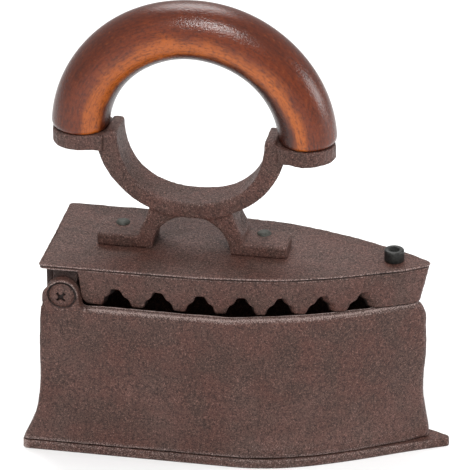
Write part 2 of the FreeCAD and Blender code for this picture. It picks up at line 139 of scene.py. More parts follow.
def smooth_line(points, start_way, end_way, count):
    """Line through the points with matching bends: a cubic between each pair, whose slopes
    solve the usual three-term equations of a spline, run by chord length. Returns count points."""
    p = np.array(points, float)
    h = np.linalg.norm(np.diff(p, axis=0), axis=1)
    d = np.diff(p, axis=0) / h[:, None]
    n = len(p)
    a = np.eye(n)
    b = np.zeros_like(p)
    b[0], b[-1] = start_way, end_way
    for i in range(1, n - 1):
        a[i, i - 1:i + 2] = h[i], 2 * (h[i - 1] + h[i]), h[i - 1]
        b[i] = 3 * (h[i] * d[i - 1] + h[i - 1] * d[i])
    m = np.linalg.solve(a, b)
    knots = lengths(p)
    t = np.linspace(0, knots[-1], count)
    i = np.clip(np.searchsorted(knots, t, side="right") - 1, 0, n - 2)
    u = ((t - knots[i]) / h[i])[:, None]
    return cubic(u, h[i][:, None], p[i], p[i + 1], m[i], m[i + 1])


def half_outline(heel_x, half_width, shoulder_x, curve, nose_x, tip_r, corner, stations):
    """Half of a plan outline from the middle of the heel to the nose, +Y side. It is a straight
    heel, a quarter-circle corner, a straight side, a spline over the shoulder and an arc that
    is tangent to it at the tip. stations gives the place fractions along each of these five."""
    heel_f, corner_f, side_f, nose_f, tip_f = stations
    last = np.array(curve[-1], float)
    centre = np.array([nose_x - tip_r, 0.0])
    away = centre - last
    gap = np.hypot(*away)
    heading = math.asin(tip_r / gap) + math.atan2(away[1], away[0])
    way = np.array([math.cos(heading), math.sin(heading)])
    touch = last + math.sqrt(gap ** 2 - tip_r ** 2) * way
    heel = np.stack([0 * heel_f + heel_x, heel_f * (half_width - corner)], 1)
    turn = corner_f * math.pi / 2
    bend = np.stack([heel_x + corner * (1 - np.cos(turn)),
                     half_width - corner * (1 - np.sin(turn))], 1)
    side = np.stack([heel_x + corner + side_f * (shoulder_x - heel_x - corner),
                     0 * side_f + half_width], 1)
    fine = smooth_line([(shoulder_x, half_width), *curve, touch], (1, 0), way, 400)
    nose = at_places(nose_f, np.linspace(0, 1, 400), fine)
    angle = (math.pi / 2 + heading) * (1 - tip_f)
    tip = centre + tip_r * np.stack([np.cos(angle), np.sin(angle)], 1)
    return np.concatenate([heel, bend, side, nose, tip])


def stations(heel, corner, side, nose, tip):
    """Place fractions with the given counts; each stretch leaves its end to the next one."""
    def steps(count):
        return np.arange(count) / count
    side_f = steps(side) if np.isscalar(side) else np.asarray(side)
    return steps(heel), steps(corner), side_f, steps(nose), np.linspace(0, 1, tip)


def inset_curve(curve, distance):
    """A half outline moved inwards by a distance, square to its own run."""
    c = np.array(curve, float)
    run = headings(c)
    return c + distance * np.stack([run[:, 1], -run[:, 0]], 1)


def lid_half(distance, places):
    """The lid's half outline, moved inwards by a distance."""
    return half_outline(LID_LOW[0] + distance, LID_HIGH[1] - distance, -22,
                        inset_curve(LID_CURVE, distance), LID_HIGH[0] - 1.8 * distance, 2.8, 2.0,
                        places)


def chamber_half(places):
    """Half outline of the chamber's wall."""
    return half_outline(-79.0, 28.4, -2, CHAMBER_CURVE, 71.5, 2.5, 1.5, places)


def whole_loop(half):
    """Mirrors half rows (..., columns, 3) across Y = 0 into closed loops."""
    other = half[..., -2:0:-1, :] * np.array([1, -1, 1])
    return np.concatenate([half, other], axis=-2)


def clear_round(points, centre_x, r):
    """Moves points that lie within r of an upright line on the middle plane out to r."""
    away = points[..., :2] - (centre_x, 0)
    far = np.linalg.norm(away, axis=-1, keepdims=True)
    moved = points.copy()
    moved[..., :2] = (centre_x, 0) + away * np.maximum(1, r / np.maximum(far, 0.1))
    return moved


def at_height(plan, z):
    """Plan points (n, 2) lifted to a height, which may differ for each point."""
    return np.concatenate([plan, np.broadcast_to(np.asarray(z, float), len(plan))[:, None]], 1)


def fan(plan, z, shares):
    """Level rows that close a plan, each with a share of its width."""
    return [at_height(plan * (1, share), z) for share in shares]


def between_rows(z_known, rows, z):
    """Rows at heights z from rows at known heights: a cubic whose slope at each known row is
    the mean slope of the stretches beside it."""
    z_known, rows = np.asarray(z_known, float), np.asarray(rows, float)
    slope = np.gradient(rows, z_known, axis=0)
    i = np.clip(np.searchsorted(z_known, z, side="right") - 1, 0, len(z_known) - 2)
    h = (z_known[i + 1] - z_known[i])[:, None, None]
    u = (z - z_known[i])[:, None, None] / h
    return cubic(u, h, rows[i], rows[i + 1], slope[i], slope[i + 1])


def smooth_step(x, low, high):
    """0 below low, 1 above high and a soft S between."""
    t = np.clip((x - low) / (high - low), 0, 1)
    return t * t * (3 - 2 * t)


def value_noise(points, size, seed):
    """Soft noise from -1 to 1 with lumps of a size: numbers hashed from the corners of a cubic
    lattice, mixed by smoothed distance."""
    p = points / size + 1000.0
    cell = np.floor(p).astype(np.int64)
    f = p - cell
    f = f * f * (3 - 2 * f)
    total = np.zeros(len(points))
    for corner in range(8):
        step = np.array([corner & 1, corner >> 1 & 1, corner >> 2])
        c = cell + step
        key = (c[:, 0] * 73856093 ^ c[:, 1] * 19349663 ^ c[:, 2] * 83492791) + seed * 2654435761
        key = (key ^ (key >> 13)) * 1274126177 & 0x7FFFFFFF
        key = (key ^ (key >> 16)) & 0xFFFF
        weight = np.prod(np.where(step == 1, f, 1 - f), axis=1)
        total += weight * (key / 32767.5 - 1)
    return total


def grid_quads(rows, columns):
    """Corner numbers of the quads between rows that are closed loops."""
    r = np.arange(rows - 1)[:, None] * columns
    c = np.arange(columns)[None, :]
    n = (c + 1) % columns
    return np.stack([r + c, r + n, r + columns + n, r + columns + c], -1).reshape(-1, 4)


def solid(loops, close_ends=True):
    """Vertices and quads of a closed skin through loops (rows, columns, 3). The first and last
    loop are closed to their middle points."""
    if close_ends:
        ends = [np.broadcast_to(loops[i].mean(0), loops[i].shape) for i in (0, -1)]
        loops = np.concatenate([ends[0][None], loops, ends[1][None]])
    rows, columns = loops.shape[:2]
    return loops.reshape(-1, 3), grid_quads(rows, columns)


def rounded_rectangle(half_u, half_v, r, per_corner=5):
    """Closed loop of (u, v): four quarter circles of radius r joined by straight sides."""
    a = np.linspace(0, math.pi / 2, per_corner)
    centres = [(1, 1), (-1, 1), (-1, -1), (1, -1)]
    parts = [np.stack([su * (half_u - r) + r * np.cos(a + i * math.pi / 2),
                       sv * (half_v - r) + r * np.sin(a + i * math.pi / 2)], 1)
             for i, (su, sv) in enumerate(centres)]
    return np.concatenate(parts)


def block(centre, half, r, edge):
    """Upright block with corners of radius r and a round of size edge at top and bottom."""
    cx, cy, cz = centre
    hx, hy, hz = half
    a = np.linspace(0, math.pi / 2, 4)
    levels = [(-hz + edge * (1 - math.sin(t)), edge * (1 - math.cos(t))) for t in a[::-1]]
    levels += [(-z, inset) for z, inset in levels[::-1]]
    loops = []
    for z, inset in levels:
        plan = rounded_rectangle(hx - inset, hy - inset, max(r - inset, 0.2)) + (cx, cy)
        loops.append(at_height(plan, cz + z))
    return solid(np.array(loops))


def side_block(outline, y0, y1, edge):
    """A convex (x, z) outline carried across from y0 to y1, its two faces' edges rounded."""
    p = np.array(outline, float)
    middle = p.mean(0)
    reach = np.linalg.norm(p - middle, axis=1)[:, None]
    loops = []
    ends = [(0, edge), (edge * 0.3, edge * 0.3), (edge, 0)]
    for y, inset in [(y0 + d, i) for d, i in ends] + [(y1 - d, i) for d, i in ends[::-1]]:
        q = p - (p - middle) / reach * inset
        loops.append(np.stack([q[:, 0], 0 * q[:, 0] + y, q[:, 1]], 1))
    return solid(np.array(loops))


def full_turn(count):
    return np.linspace(0, 2 * math.pi, count, endpoint=False)


def rings(r, z, a):
    """Loops about Z with radii r and heights z at the angles a."""
    return np.stack(np.broadcast_arrays(r * np.cos(a), r * np.sin(a), z), -1)


def turned(profile, count):
    """A (radius, height) profile turned about Z."""
    r, z = np.array(profile, float).T[..., None]
    return solid(rings(r, z, full_turn(count)))


# --- meshes and objects ---
def make_mesh(name, solids):
    """One mesh from closed solids in millimetres: doubles merged and faces turned outwards."""
    counts = np.cumsum([0] + [len(v) for v, _ in solids])
    vertices = np.concatenate([v for v, _ in solids]) * MM
    faces = np.concatenate([f + n for (_, f), n in zip(solids, counts)])
    mesh = bpy.data.meshes.new(name)
    mesh.from_pydata(vertices, [], faces.tolist())
    work = bmesh.new()
    work.from_mesh(mesh)
    bmesh.ops.remove_doubles(work, verts=work.verts, dist=1e-6)
    bmesh.ops.dissolve_degenerate(work, edges=work.edges, dist=1e-7)
    bmesh.ops.recalc_face_normals(work, faces=work.faces)
    work.to_mesh(mesh)
    work.free()
    mesh.shade_smooth()
    return mesh


def read_vectors(mesh, name):
    values = np.zeros(len(mesh.vertices) * 3)
    mesh.vertices.foreach_get(name, values)
    return values.reshape(-1, 3)


def read_points(mesh):
    return read_vectors(mesh, "co") / MM


def read_edges(mesh):
    """The two end vertices of every edge."""
    ends = np.zeros(len(mesh.edges) * 2, np.int64)
    mesh.edges.foreach_get("vertices", ends)
    return ends.reshape(-1, 2).T


def write_points(mesh, points):
    mesh.vertices.foreach_set("co", (points * MM).ravel())
    mesh.update()


def neighbour_means(mesh, values):
    """For each vertex, the mean of a quantity over the vertices that share an edge with it."""
    a, b = read_edges(mesh)
    count = np.bincount(np.concatenate([a, b]), minlength=len(values)).clip(1)
    flat = values.reshape(len(values), -1)
    sums = [np.bincount(np.concatenate([a, b]), np.concatenate([flat[b, k], flat[a, k]]),
                        len(values)) for k in range(flat.shape[1])]
    return (np.stack(sums, 1) / count[:, None]).reshape(values.shape)


def soften(mesh, passes):
    """Rounds edges and corners: each pass moves a point half-way to its neighbours' mean."""
    points = read_points(mesh)
    for _ in range(passes):
        points = (points + neighbour_means(mesh, points)) / 2
    write_points(mesh, points)


def set_number(mesh, name, values):
    layer = mesh.attributes.new(name, "FLOAT", "POINT")
    layer.data.foreach_set("value", np.asarray(values, np.float32))


def wear_and_shade_relief(mesh):
    """How far each point stands proud of its neighbours: above 0 on corners that wear, below 0
    in hollows, which the coating darkens as painted shade. Coarse inner faces count as flat."""
    points, normals = read_points(mesh), read_vectors(mesh, "normal")
    a, b = read_edges(mesh)
    reach = np.zeros(len(points))
    size = np.linalg.norm(points[a] - points[b], axis=1)
    np.maximum.at(reach, a, size)
    np.maximum.at(reach, b, size)
    proud = ((points - neighbour_means(mesh, points)) * normals).sum(1)
    proud *= reach < 3.0
    for _ in range(2):
        proud = (proud + neighbour_means(mesh, proud)) / 2
    return np.clip(proud / 0.14, -1, 1)


def cast_skin(mesh, lump, grain, seed, wear_and_light_marks):
    """Sand-cast unevenness: long waves, lumps and grain moved along the normals. The ironing
    face stays flat. The attribute edge keeps the wear and the painted shade and highlight, as the
    given function changes them."""
    points, normals = read_points(mesh), read_vectors(mesh, "normal")
    # edge holds pale wear above 0, on the base rim partly a painted highlight, and painted shade
    # below 0
    wear_and_painted_light = np.clip(wear_and_light_marks(points, normals, wear_and_shade_relief(mesh)), -1, 1)
    set_number(mesh, "edge", wear_and_painted_light)
    move = lump * value_noise(points, 9.0, seed) + lump * 0.5 * value_noise(points, 3.6, seed + 1)
    move += grain * value_noise(points, 1.5, seed + 2)
    move *= smooth_step(points[:, 2], 0.6, 1.6)
    write_points(mesh, points + normals * move[:, None])


def linked(name, data):
    """A new object in the scene."""
    made = bpy.data.objects.new(name, data)
    bpy.context.scene.collection.objects.link(made)
    return made


def place(name, mesh, material, body, nodes):
    """Gives a finished mesh its finish, puts it in the place of its nodes and on its body."""
    piece = linked(name, mesh)
    mesh.materials.append(material)
    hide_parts(*nodes)
    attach(piece, body)


def fuse(name, solids, voxel, passes):
    """Grows overlapping solids into one skin, as metal fills a mould, then rounds it."""
    rough = linked(name, make_mesh(name, solids))
    melt = rough.modifiers.new("melt", "REMESH")
    melt.mode = "VOXEL"
    melt.voxel_size = voxel * MM
    depsgraph = bpy.context.evaluated_depsgraph_get()
    mesh = bpy.data.meshes.new_from_object(rough.evaluated_get(depsgraph))
    bpy.data.objects.remove(rough)
    mesh.name = name
    mesh.shade_smooth()
    soften(mesh, passes)
    return mesh


# --- the castings ---
def sole_mesh():
    """The sole: a flat slab on its outline, with small rounds at its two edges."""
    places = stations(36, 5, 90, 110, 7)
    half_x = SOLE_HIGH[0]

    def plan(d):
        return half_outline(-half_x + d, SOLE_HIGH[1] - d, 2, inset_curve(SOLE_CURVE, d),
                            half_x - d, 1.6, 2.6, places)

    thick = SOLE_HIGH[2]
    rows = fan(plan(0.5), 0, np.linspace(0, 0.96, 12))
    rows += [at_height(plan(d), z) for d, z in ((0.5, 0), (0.15, 0.12), (0, 0.5), (0, thick / 2),
                                               (0, thick - 0.6), (0.2, thick - 0.15), (0.6, thick))]
    rows += fan(plan(0.6), thick, np.linspace(0.97, 0, 24))
    return make_mesh("sole", [solid(whole_loop(np.array(rows)), False)])


def ear_path(count):
    """Top line of the casting's side from the heel corner over the ear to the plain rim, as
    (x, z): a slope, an arc about the hinge and a fillet, spaced evenly along its length."""
    arc = np.radians(np.arange(147, -1, -7))
    points = [(-82.2, RIM_TOP), (-81.9, 73.2), (-81.2, 76.6)]
    points += list(zip(HINGE_X + EAR_R * np.cos(arc), HINGE_Z + EAR_R * np.sin(arc)))
    points += [(-65.3, 73.2), (-64.7, 71.6), (-63.6, 70.5), (EAR_FROM_X, RIM_TOP)]
    fine = smooth_line(points, (0.2, 1), (1, 0), 600)
    length = lengths(fine)
    return at_places(np.linspace(0, length[-1], count), length, fine)


def base_wall():
    """The open box: loops that run up the outer wall, over the rim and down the chamber wall.
    Each column ends on a top line, which climbs over the ears and drops between them, and the
    upper quarter of the wall is stretched to meet it."""
    corner, heel_count, corner_count, ear_columns = 1.8, 34, 7, 120
    near = np.linspace(0, 1, ear_columns, endpoint=False) * 0.235
    far = np.linspace(0.235, 1, 66, endpoint=False)
    places = stations(heel_count, corner_count, np.concatenate([near, far]), 96, 8)
    sections = [
        (SOLE_HIGH[2], BASE_LOW[0], 35.2, 2, FOOT_CURVE, 83.0),
        (9.5, -89.3, 34.7, 2, FOOT_CURVE, 82.6),
        (15.5, -86.5, 34.1, 1, inset_curve(WALL_CURVE, -0.4), 81.4),
        (21.0, -85.2, 33.8, 1, WALL_CURVE, 80.4),
        (57.0, -83.2, 33.0, 0, UPPER_CURVE, 80.0),
        (67.0, -82.7, 32.8, -2, inset_curve(UPPER_CURVE, 0.5), 78.6),
        (RIM_TOP, -82.2, 32.2, -4, RIM_CURVE, 76.6),
    ]
    heights = [s[0] for s in sections]
    plans = np.array([half_outline(*s[1:], 3.4, corner, places) for s in sections])
    inner = chamber_half(places)

    columns = plans.shape[1]
    count = corner_count + ear_columns
    ear = slice(heel_count, heel_count + count)
    top = at_height(plans[-1], RIM_TOP)
    path = ear_path(count + 1)[:-1]
    on_corner = np.clip((path[0, 0] + corner - path[:, 0]) / corner, 0, 1)
    top[ear, 0], top[ear, 2] = path[:, 0], path[:, 1]
    top[ear, 1] = EAR_OUTER_Y - corner * (1 - np.sqrt(1 - on_corner ** 2))
    heel_y = top[:heel_count, 1]
    inner[:heel_count, 1] = np.minimum(heel_y, 26.2 + (heel_y - 26.2) / 6)
    dip = 1 - smooth_step(heel_y, 27.0, 28.4)
    top[:heel_count, 2] = RIM_TOP + (REAR_RIM_TOP - RIM_TOP) * dip

    up = np.zeros((columns, 3))
    up[:, 2] = 1
    run = headings(path)
    up[ear, 0], up[ear, 2] = -run[:, 1], run[:, 0]
    leaving = (path[:, 0] < HINGE_X) * (1 - smooth_step(path[:, 1], RIM_TOP, RIM_TOP + 5))
    up[ear] += leaving[:, None] * ((0, 0, 1) - up[ear])
    up /= np.linalg.norm(up, axis=1)[:, None]
    plan_run = headings(plans[-1])
    out = np.zeros((columns, 3))
    out[:, 0], out[:, 1] = -plan_run[:, 1], plan_run[:, 0]
    out[ear] = (0, 1, 0)
    out[heel_count:heel_count + corner_count] = (-0.7, 0.7, 0)
    is_ear = np.zeros(columns)
    is_ear[ear] = smooth_step(path[:, 1], RIM_TOP + 0.2, RIM_TOP + 3)

    edge = (1.5 - 0.5 * is_ear)[:, None]
    rows = []
    split = 57.0
    low_z = np.concatenate([[heights[0]], np.linspace(heights[0] + 0.75, split, 46)])
    low = between_rows(heights, plans, low_z)
    seat = half_outline(BASE_LOW[0] + 0.8, 34.4, 2, inset_curve(FOOT_CURVE, 0.8), 82.2, 3.4,
                        corner, places)
    rows += fan(seat, heights[0], (0, 0.5, 0.9, 1))
    rows.append(at_height(seat, heights[0] + 0.5))
    rows += [at_height(p, z) for p, z in zip(low[1:], low_z[1:])]
    start = rows[-1]
    finish = top - edge * up
    for t in np.linspace(0, 1, 46)[1:]:
        row = start + (finish - start) * t
        plain = between_rows(heights, plans, np.array([split + (RIM_TOP - 1.5 - split) * t]))[0]
        row[:, :2] = plain + (row[:, :2] - plain) * is_ear[:, None]
        rows.append(row)
    for a in np.radians((25, 50, 75, 90)):
        rows.append(top - edge * up * (1 - math.sin(a)) - edge * out * (1 - math.cos(a)))
    lip = at_height(inner, RIM_TOP)
    lip[:, 2] = top[:, 2]
    lip[ear, 0] = np.maximum(path[:, 0], -79.0)
    lip[ear, 1] = np.where(is_ear[ear] > 0, EAR_INNER_Y, lip[ear, 1])
    outer_edge = rows[-1]
    for f, drop in ((0.15, 0.1), (0.30, 0.2), (0.37, 1.1), (0.49, 1.2), (0.57, 0.1),
                    (0.68, -0.1), (0.88, 0.0), (1.0, 0.5)):
        row = outer_edge + (lip - outer_edge) * f
        row[:, 2] -= drop * (1 - is_ear)
        rows.append(row)
    deep = at_height(inner, 65.0)
    rows += [lip + (deep - lip) * t for t in (0.3, 0.6, 0.9, 1.0)]
    swept = clear_round(inner, LATCH_X, 6.4)
    rows += [at_height(plan, z) for plan, z in ((inner, 64.7), (swept, 64.5), (swept, 62),
                                                (swept, 59.6), (inner, 59.4))]
    rows += [at_height(inner, z) for z in np.linspace(56, FLOOR_TOP, 12)]
    rows += fan(inner, FLOOR_TOP, (0.8, 0.5, 0.25, 0))
    loops = whole_loop(np.array(rows))
    return solid(press_pockets(loops), False)


def press_pockets(loops):
    """Sinks the round seat of the hinge screw into the outer face of each ear."""
    x, y, z = loops[..., 0], loops[..., 1], loops[..., 2]
    r = np.hypot(x - HINGE_X - 0.25, z - HINGE_Z - 0.25)
    outer = np.abs(y) > EAR_OUTER_Y - 1.2
    sink = (1 - smooth_step(r, 6.0, 6.45)) * outer
    loops[..., 1] = y - np.sign(y) * sink * 1.2
    return loops


def base_mesh():
    """The base casting with its grate pads and the slotted keeper in the nose."""
    solids = [base_wall()]
    inner = chamber_half(stations(2, 2, 4, 60, 12))
    for x, y in ((-74, -22), (-74, 22), (-28, -23), (-28, 23), (14, -19), (14, 19), (48, 0)):
        solids.append(block((x, y, 12.2), (3, 3, 3.8), 2.9, 0.4))
    x = np.linspace(56.0, 71.2, 20)
    reach = np.interp(x, inner[:, 0], inner[:, 1]) + 0.6
    near = np.where(x > LATCH_X - 5.6, 2.9, -1.0)
    for side in (-1, 1):
        plan = np.concatenate([np.stack([x, side * near], 1), np.stack([x, side * reach], 1)[::-1]])
        solids.append(solid(np.array([at_height(plan, z) for z in (64.5, 67.5)])))
    return make_mesh("base_body", solids)


def lid_plate():
    """The lid's flat top: a slab with a wear-rounded bead along its edge and a fine groove under
    it.
    """
    places = stations(38, 6, 84, 130, 8)
    inset_and_drop = [(0.9, 0), (0.5, 0.05), (0.15, 0.2), (0, 0.5), (0.05, 0.7), (0.75, 0.9),
                      (0.8, 1.4), (0.38, 1.65), (0.34, 2.1), (0.8, 2.4)]
    rows = fan(lid_half(0.9, places), LID_TOP, np.linspace(0, 0.97, 30))
    rows += [at_height(lid_half(d, places), LID_TOP - drop) for d, drop in inset_and_drop]
    rows += fan(lid_half(0.8, places), PLATE_UNDER, (0.9, 0.6, 0.3, 0))
    return solid(whole_loop(np.array(rows)), False)


def skirt_edge(length, x_along):
    """Lower edge of the skirt on one side as (distance along, height), from the top of the
    notch by the ear, over seven scalloped gaps, to the nose."""
    def reach(x):
        return np.interp(x, x_along, length)

    rise = 78.8 - LID_BOTTOM
    half_gap = [(-6.7, 0), (-6.1, 0.14), (-5.5, 0.38), (-4.7, 0.5), (-3.6, 0.57), (-2.8, 0.7),
                (-2.2, 0.9), (-1.5, 0.99), (0, 1.0)]
    gap = half_gap + [(-u, v) for u, v in half_gap[-2::-1]]
    points = [(reach(NOTCH_X), PLATE_UNDER + 0.6), (reach(NOTCH_X), 74.2)]
    points += [(reach(x), z) for x, z in ((-64.4, 72.4), (-63.2, 71.1), (-61.4, 70.5))]
    for x in VENT_CENTRES_X:
        points += [(reach(x) + u, LID_BOTTOM + rise * v) for u, v in gap]
    points.append((length[-1], LID_BOTTOM))
    points = np.array(points)
    run = lengths(points)
    line = at_places(np.linspace(0, run[-1], int(run[-1] / 0.36)), run, points)
    kernel = np.array([1, 2, 1]) / 4
    for k in (0, 1):
        padded = np.pad(line[:, k], 1, mode="reflect", reflect_type="odd")
        line[:, k] = np.convolve(padded, kernel, "valid")
    return line


def lid_skirt():
    """The leaning skirt: a ribbon between an outer and an inner outline that hangs from the
    plate to the scalloped edge, whose rim is rounded along the edge's own normal."""
    places = stations(20, 6, 120, 200, 10)
    high, low, inside = lid_half(0.35, places), lid_half(2.2, places), lid_half(5.0, places)
    length = lengths(low)
    edge = skirt_edge(length, np.maximum.accumulate(low[:, 0] - 2.2 * headings(low)[:, 1]))
    share = np.linspace(edge[0, 0], edge[-1, 0], len(edge))
    top = np.stack([0.3 * share + 0.7 * edge[:, 0], 0 * share + PLATE_UNDER + 0.5], 1)
    run = headings(edge)
    down = np.stack([run[:, 1], -run[:, 0]], 1)
    down[-1] = (0, -1)

    def outside_at(p):
        lean = ((p[:, 1] - LID_BOTTOM) / (PLATE_UNDER - LID_BOTTOM))[:, None]
        foot, brow = [at_places(p[:, 0], length, plan) for plan in (low, high)]
        return foot + (brow - foot) * lean

    def inside_at(p):
        return at_places(p[:, 0], length, inside)

    r = 0.7
    rows = []
    brim = edge - down * r
    for t in np.linspace(0, 1, 16):
        p = top + (brim - top) * t
        rows.append(at_height(outside_at(p), p[:, 1]))
    for a in np.radians((30, 60, 90)):
        p = edge - down * r * (1 - math.sin(a))
        shell = outside_at(p)
        depth = r * (1 - math.cos(a)) / 3.0
        rows.append(at_height(shell + (inside_at(p) - shell) * depth, p[:, 1]))
    inner_edge, inner_top = [at_height(inside_at(p), p[:, 1]) for p in (edge, top)]
    rows.append(rows[-1] + (inner_edge - rows[-1]) * 0.5)
    rows += [inner_edge + (inner_top - inner_edge) * t for t in np.linspace(0, 1, 9)]
    rows.append(rows[0])
    half = np.array(rows)
    half = np.where(half[..., 2:] < 82.3, clear_round(half, LATCH_X, 5.6), half)
    other = half[:, -2::-1] * (1, -1, 1)
    ribbon = np.concatenate([half, other], axis=1)
    return solid(ribbon.transpose(1, 0, 2)[:, :-1], True)


def lug_outline():
    """(x, z) outline of a hinge lug: straight from the plate, round about the pin."""
    a = np.radians(np.arange(190, 341, 10))
    points = [(HINGE_X + 7, PLATE_UNDER + 0.5), (HINGE_X - LUG_R, PLATE_UNDER + 0.5)]
    points += list(zip(HINGE_X + LUG_R * np.cos(a), HINGE_Z + LUG_R * np.sin(a)))
    return points


def lid_mesh():
    """The lid casting: plate, skirt, rear apron, screw boss and the two hinge lugs."""
    solids = [lid_plate(), lid_skirt()]
    solids.append(block((-79.4, 0, 78.6), (1.4, 26, 7.6), 0.6, 0.5))
    solids.append(turned([(5.2, 86.2), (5.2, 82.7), (4.7, 82.2)], 40))
    solids[-1][0][:, 0] += LATCH_X
    solids += [side_block(lug_outline(), y, y + 3.7, 0.5) for y in (-27.9, 24.2)]
    return make_mesh("lid_shell", solids)


def ring_curve(half_width, depth, power, angles):
    """Points (x, z) on the squared-off ellipse about the finger opening's centre, where
    |x / half_width|^power + |z / depth|^power = 1."""
    c, s = np.cos(angles), np.sin(angles)
    p = 2 / power
    return np.stack([HANDLE_X + half_width * np.sign(c) * np.abs(c) ** p,
                     RING_Z + depth * np.sign(s) * np.abs(s) ** p], 1)


def bracket_band():
    """The half-round band: a rounded rectangle carried along the squared-off ellipse."""
    angles = np.pi + np.linspace(0.02, np.pi - 0.02, 64)
    near, far = ring_curve(*RING_INNER, angles), ring_curve(*RING_OUTER, angles)
    far[:, 1] = np.minimum(far[:, 1], 141.3)
    section = rounded_rectangle(1.0, 8.7, 0.01, 3)
    section[:, 0] = np.clip(section[:, 0], -1, 1)
    mid, reach = (near + far) / 2, (far - near) / 2
    loops = mid[:, None] + reach[:, None] * section[None, :, :1]
    loops = np.insert(loops, 1, np.broadcast_to(section[:, 1], loops.shape[:2]), axis=2)
    return solid(loops)


def bracket_leg(side):
    """One leg: level slices between the arch's ellipse and the flared outer line."""
    z = np.linspace(LID_TOP + 0.3, 107.5, 26)
    outer = np.interp(z, (97.0, 102.5, 108.6), (22.8, 20.2, 18.0))
    arch = 16.8 * np.sqrt(np.clip(1 - ((z - LID_TOP) / 17.0) ** 2, 0, 1))
    loops = []
    for zi, a, b in zip(z, arch, outer):
        plan = rounded_rectangle((b - a) / 2, 8.2, 0.3, 3) + (HANDLE_X + side * (a + b) / 2, 0)
        loops.append(at_height(plan, zi))
    return solid(np.array(loops))


def bracket_mesh():
    """The handle bracket: feet, legs, band, flange plates and tabs, fused as one casting."""
    solids = [bracket_band()]
    for side in (-1, 1):
        foot_x = HANDLE_X + side * (17.0 + 41.5) / 2
        flange_x = HANDLE_X + side * 48.6
        solids.append(block((foot_x, 0, LID_TOP + 2.9), (12.25, 8.2, 2.9), 2.2, 0.5))
        solids.append(bracket_leg(side))
        solids.append(block((flange_x, 0, 138.0), (12.3, 12.3, 3.5), 12.2, 0.5))
        solids.append(block((HANDLE_X + side * 43.0, 0, 138.0), (5.5, 11.0, 3.5), 0.4, 0.3))
        solids.append(block((HANDLE_X + side * 34.1, 0, 139.5), (2.3, 8.2, 3.8), 0.6, 0.4))
    return fuse("bracket", solids, 0.55, 3)


def near_height(points, z, width):
    """1 at a height, fading to 0 a width away."""
    return np.clip(1 - np.abs(points[:, 2] - z) / width, 0, 1)


def base_wear_and_painted_light(points, normals, wear_and_painted_light):
    """The upper outer edge gets pale wear, partly a painted highlight along the rim. The rim's
    groove, the line above the sole and the round seats of the hinge screws get painted shade."""
    x, y, z = points.T
    # Pale band on the rim's outer round: partly wear, partly a painted highlight.
    rubbed_and_painted_light = 0.75 * near_height(points, 69.4, 1.2) * smooth_step(x, -66, -60)
    # Painted shade in the rim's groove, under the lid.
    groove = near_height(points, RIM_TOP - 1.15, 0.3) * (normals[:, 2] > 0.4)
    # Painted shadow in the round seats round the hinge-screw heads.
    seat = (np.hypot(x - HINGE_X, z - HINGE_Z) < 6.5) * (np.abs(y) < EAR_OUTER_Y - 0.25)
    # The band at z 4.2 is a painted shadow line in the joint just above the sole.
    return wear_and_painted_light + rubbed_and_painted_light - near_height(points, 4.2, 0.9) - 1.6 * groove - 1.2 * seat


def lid_wear_and_shade(points, normals, wear_and_painted_light):
    """The edge of the top gets pale wear; the sides of the vent openings and the hinge lugs get
    painted shade.
    """
    x, y, z = points.T
    rubbed_and_painted_light = wear_and_painted_light + 0.4 * near_height(points, LID_TOP - 0.25, 0.5) * (normals[:, 2] < 0.9)
    # Painted shade on the sides of the vent openings.
    vent_side_shade = (np.abs(normals[:, 1]) < 0.62) * (z < 80.5) * (x > -64) * (x < 70)
    # Painted shade on the hinge lugs and rear apron, in the gap between the ears and the lid.
    hidden = (z < PLATE_UNDER + 0.2) * (x < -65.6) * (np.abs(y) < 29.5) * (normals[:, 0] > -0.6)
    dark = np.where(hidden, -0.5, np.minimum(wear_and_painted_light, 0.1))
    return np.where(vent_side_shade, -0.8, np.where(hidden | (z < 80.5), dark, rubbed_and_painted_light))


def all_edges(points, normals, wear_and_painted_light):
    """Every outward edge gets pale wear; hollows get painted shade."""
    return wear_and_painted_light * 0.9


# --- the grip and the screws ---
def grip_mesh():
    """The grip: a circle carried round half a turn, with rounded ends and a slightly uneven
    hand-sanded section. The attribute fibre holds the place as if the ring were straight."""
    r = GRIP_R
    start = math.asin((GRIP_LOW[2] - GRIP_Z) / GRIP_RING_R)
    length = GRIP_RING_R * (math.pi - 2 * start)
    end, less = np.array([(0, r), (0, 1.9), (0.25, 1.1), (0.9, 0.35), (2.0, 0.02)]).T
    along = np.concatenate([end, np.linspace(3, length - 3, 150), length - end[::-1]])
    size = r - np.concatenate([less, np.zeros(150), less[::-1]])
    v = full_turn(96)
    a = (start + along / GRIP_RING_R)[:, None]
    wave = 1 + 0.006 * np.sin(3 * a + v) + 0.004 * np.sin(7 * a - 2 * v)
    radial = GRIP_RING_R + size[:, None] * np.cos(v) * wave
    loops = np.stack([HANDLE_X + radial * np.cos(a), size[:, None] * np.sin(v) * wave,
                      GRIP_Z + radial * np.sin(a)], -1)
    flat = loops[..., 2].clip(GRIP_LOW[2], None)
    loops[..., 2] = np.where(loops[..., 2] < GRIP_Z + 6, flat, loops[..., 2])
    mesh = make_mesh("grip", [solid(loops, False)])
    points = read_points(mesh) - (HANDLE_X, 0, GRIP_Z)
    angle = np.arctan2(points[:, 2], points[:, 0])
    out = np.hypot(points[:, 0], points[:, 2]) - GRIP_RING_R
    fibre = np.stack([angle * GRIP_RING_R, points[:, 1], out], 1) * MM
    layer = mesh.attributes.new("fibre", "FLOAT_VECTOR", "POINT")
    layer.data.foreach_set("vector", fibre.ravel())
    return mesh


def head_dome(r):
    """Height of the truss head's ball face at a radius, above its seat."""
    ball = (HEAD_R ** 2 + HEAD_RISE ** 2) / (2 * HEAD_RISE)
    return np.sqrt(np.clip(ball ** 2 - r ** 2, 0, None)) - (ball - HEAD_RISE)


